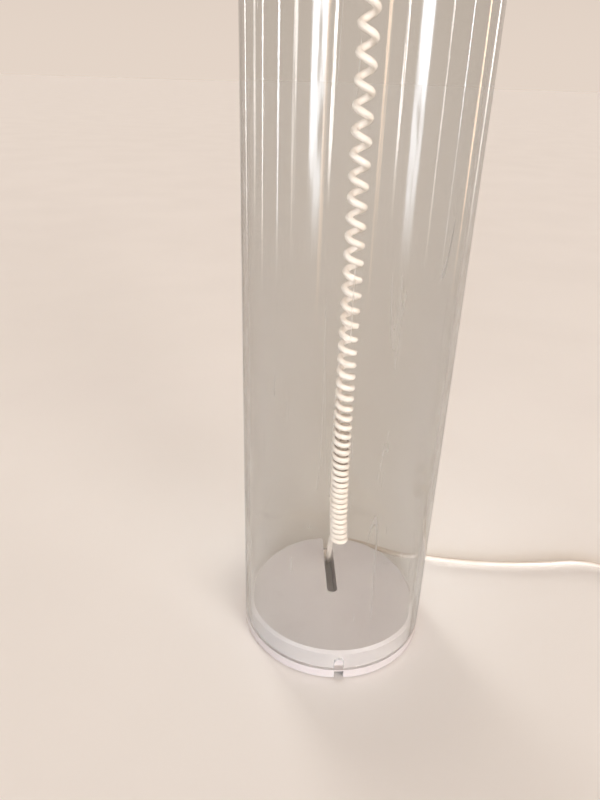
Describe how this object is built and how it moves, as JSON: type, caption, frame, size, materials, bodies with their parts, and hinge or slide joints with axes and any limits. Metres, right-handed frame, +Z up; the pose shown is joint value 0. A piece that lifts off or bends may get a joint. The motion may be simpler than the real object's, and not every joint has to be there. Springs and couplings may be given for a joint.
{
  "type": "tube floor lamp",
  "caption": "Floor lamp: clear tube on a round white base, a curly cord hanging on its axis, and a globe bulb on the disc that closes its top.",
  "frame": {"origin": "on the floor, under the middle of the base", "axes": "+Z up along the tube's axis; -Y is the front with the tube's notch, +Y the back where the cord leaves through the base's slot"},
  "size_m": [0.5715, 0.2374, 1.396],
  "materials": {
    "white_paint": "satin",
    "white_plastic": "satin",
    "clear_acrylic": "polished",
    "grey_felt": "felted",
    "cream_cord": "semi-gloss",
    "holder_plastic": "gloss",
    "porcelain": "glazed",
    "brass": "satin",
    "steel": "brushed",
    "bulb_aluminium": "satin",
    "black_glass": "gloss",
    "opal_glass": "gloss",
    "clear_glass": "gloss",
    "white_tie": "matt"
  },
  "bodies": {
    "stand": {"base_disc": "white_paint", "base_felt_pad": "grey_felt", "acrylic_tube": "clear_acrylic", "coiled_cord": "cream_cord", "supply_cord": "cream_cord", "supply_cord_coil": "cream_cord", "cord_tie": "white_tie", "switch_base": "holder_plastic", "switch_cover": "holder_plastic", "switch_screw": "steel", "switch_axle": "steel", "switch_contacts": "brass", "plug_body": "holder_plastic", "plug_blades": "brass"},
    "top": {"top_disc": "white_plastic", "holder_skirt": "holder_plastic", "holder_ring_nut": "holder_plastic", "holder_cap": "holder_plastic", "cord_grip": "holder_plastic", "holder_core": "porcelain", "holder_screw_shell": "brass", "holder_contact": "brass", "holder_terminal_screws": "brass", "holder_leads": "cream_cord"},
    "bulb_foot": {"bulb_tip_contact": "steel", "bulb_cap_insulator": "black_glass"},
    "bulb": {"bulb_cap": "bulb_aluminium", "bulb_globe": "opal_glass", "bulb_stem": "clear_glass", "bulb_wires": "steel", "bulb_filament": "steel"},
    "thumb_wheel": {"switch_wheel": "holder_plastic"}
  },
  "joints": [
    {"name": "top_lift", "type": "slide", "parent": "stand", "child": "top", "axis": [0, 0, 1], "range_m": [0, 0.3], "deforming": ["coiled_cord"]},
    {"name": "bulb_rise", "type": "slide", "parent": "top", "child": "bulb_foot", "axis": [0, 0, 1], "range_m": [0, 0.0146]},
    {"name": "bulb_turn", "type": "hinge", "parent": "bulb_foot", "child": "bulb", "pos_m": [0, 0, 1.23], "axis": [0, 0, 1], "range_deg": [0, 1440]},
    {"name": "switch_turn", "type": "hinge", "parent": "stand", "child": "thumb_wheel", "pos_m": [0.388, -0.003, 0.008], "axis": [0, 0, 1], "continuous": true}
  ],
  "couplings": [
    {"joint": "bulb_rise", "follows": "bulb_turn", "m_per_rad": 0.00057773}
  ]
}
